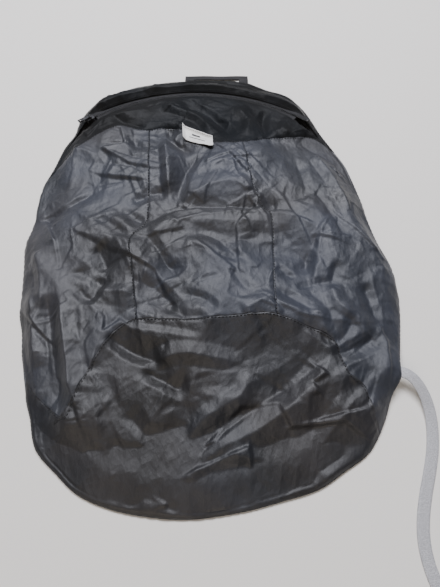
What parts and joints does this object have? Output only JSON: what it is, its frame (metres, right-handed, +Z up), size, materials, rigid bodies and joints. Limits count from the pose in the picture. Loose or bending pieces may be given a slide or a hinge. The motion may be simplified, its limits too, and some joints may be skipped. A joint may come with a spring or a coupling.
{
  "type": "packable daypack",
  "caption": "Thin nylon daypack that packs into its own pocket, empty and lying flat on its shoulder straps, with an arched zip mouth.",
  "frame": {"origin": "on the floor under the middle of the flat bag, without its loose webbing", "axes": "+X across the bag, +Y from its base to its haul loop, +Z up from the floor through the thickness of the flat bag"},
  "size_m": [0.3843, 0.6003, 0.028],
  "materials": {
    "shell_nylon": "thin coated nylon, crumpled, with a soft shine",
    "base_nylon": "thin coated nylon, crumpled",
    "back_nylon": "thin coated nylon",
    "gusset_nylon": "thin coated nylon",
    "pocket_nylon": "thin coated nylon",
    "binding_tape": "matte woven tape",
    "zip_tape": "matte woven tape",
    "zip_coil": "satin nylon coil",
    "zip_metal": "satin black",
    "strap_mesh": "air mesh over thin foam",
    "black_webbing": "flat woven tape",
    "hardware_plastic": "moulded acetal",
    "grey_webbing": "ribbed woven polyester",
    "haul_webbing": "flat woven tape",
    "thread": "stitching",
    "label_cloth": "woven satin label"
  },
  "bodies": {
    "bag": {"back_panel": "back_nylon", "base_panel": "base_nylon", "front_centre_panel": "shell_nylon", "front_left_panel": "shell_nylon", "front_right_panel": "shell_nylon", "top_gusset_back": "gusset_nylon", "edge_binding": "binding_tape", "base_seam_binding": "binding_tape", "left_seam_binding": "binding_tape", "right_seam_binding": "binding_tape", "zip_tape_back": "zip_tape", "zip_coil_back": "zip_coil", "zip_stops": "zip_metal", "stow_pocket_front": "pocket_nylon", "stow_pocket_flap": "pocket_nylon", "stow_zip_tapes": "zip_tape", "stow_zip_coils": "zip_coil", "stow_zip_stops": "zip_metal", "shoulder_strap_left": "strap_mesh", "shoulder_strap_right": "strap_mesh", "strap_binding_left": "binding_tape", "strap_binding_right": "binding_tape", "ladderlock_loop_left": "black_webbing", "ladderlock_loop_right": "black_webbing", "corner_tab_left": "black_webbing", "corner_tab_right": "black_webbing", "webbing_left": "grey_webbing", "webbing_right": "grey_webbing", "webbing_hem_left": "grey_webbing", "webbing_tail_right": "grey_webbing", "webbing_hem_right": "grey_webbing", "haul_loop_ends": "haul_webbing", "haul_loop_bartacks": "thread", "woven_label": "label_cloth", "strap_root_patch": "black_webbing"},
    "mouth_flap": {"top_gusset_front": "gusset_nylon", "zip_tape_front": "zip_tape", "zip_coil_front": "zip_coil"},
    "zip_slider": {"zip_slider": "zip_metal"},
    "zip_pull": {"zip_pull": "zip_metal"},
    "haul_loop": {"haul_loop": "haul_webbing"},
    "stow_slider": {"stow_zip_slider": "zip_metal"},
    "stow_pull": {"stow_zip_pull": "zip_metal"},
    "ladderlock_right": {"ladderlock_right": "hardware_plastic"},
    "ladderlock_left": {"ladderlock_left": "hardware_plastic"}
  },
  "joints": [
    {"name": "mouth_open", "type": "hinge", "parent": "bag", "child": "mouth_flap", "pos_m": [-0.015, 0.16, 0.0132], "axis": [1, 0, 0], "range_deg": [0, 110]},
    {"name": "zip_travel", "type": "hinge", "parent": "bag", "child": "zip_slider", "pos_m": [-0.015, 0.0122, 0.02025], "axis": [0, -0.0523, -0.9986], "range_deg": [0, 78.8]},
    {"name": "zip_pull_swing", "type": "hinge", "parent": "zip_slider", "child": "zip_pull", "pos_m": [-0.14075, 0.1652, 0.01724], "axis": [-0.6351, 0.7714, -0.0404], "range_deg": [0, 170]},
    {"name": "haul_loop_flip", "type": "hinge", "parent": "bag", "child": "haul_loop", "pos_m": [0.009, 0.2444, 0.0012], "axis": [1, 0, 0], "range_deg": [0, 120]},
    {"name": "stow_zip_travel", "type": "slide", "parent": "bag", "child": "stow_slider", "axis": [1, 0, 0], "range_m": [0, 0.122]},
    {"name": "stow_pull_swing", "type": "hinge", "parent": "stow_slider", "child": "stow_pull", "pos_m": [-0.072, 0.096, 0.013], "axis": [0, -1, 0], "range_deg": [0, 45]},
    {"name": "ladderlock_right_tilt", "type": "hinge", "parent": "bag", "child": "ladderlock_right", "pos_m": [0.12505, -0.12105, 0.003], "axis": [-0.7071, -0.7071, 0], "range_deg": [0, 12]},
    {"name": "ladderlock_left_tilt", "type": "hinge", "parent": "bag", "child": "ladderlock_left", "pos_m": [-0.12505, -0.12105, 0.003], "axis": [-0.7071, 0.7071, 0], "range_deg": [0, 12]}
  ]
}
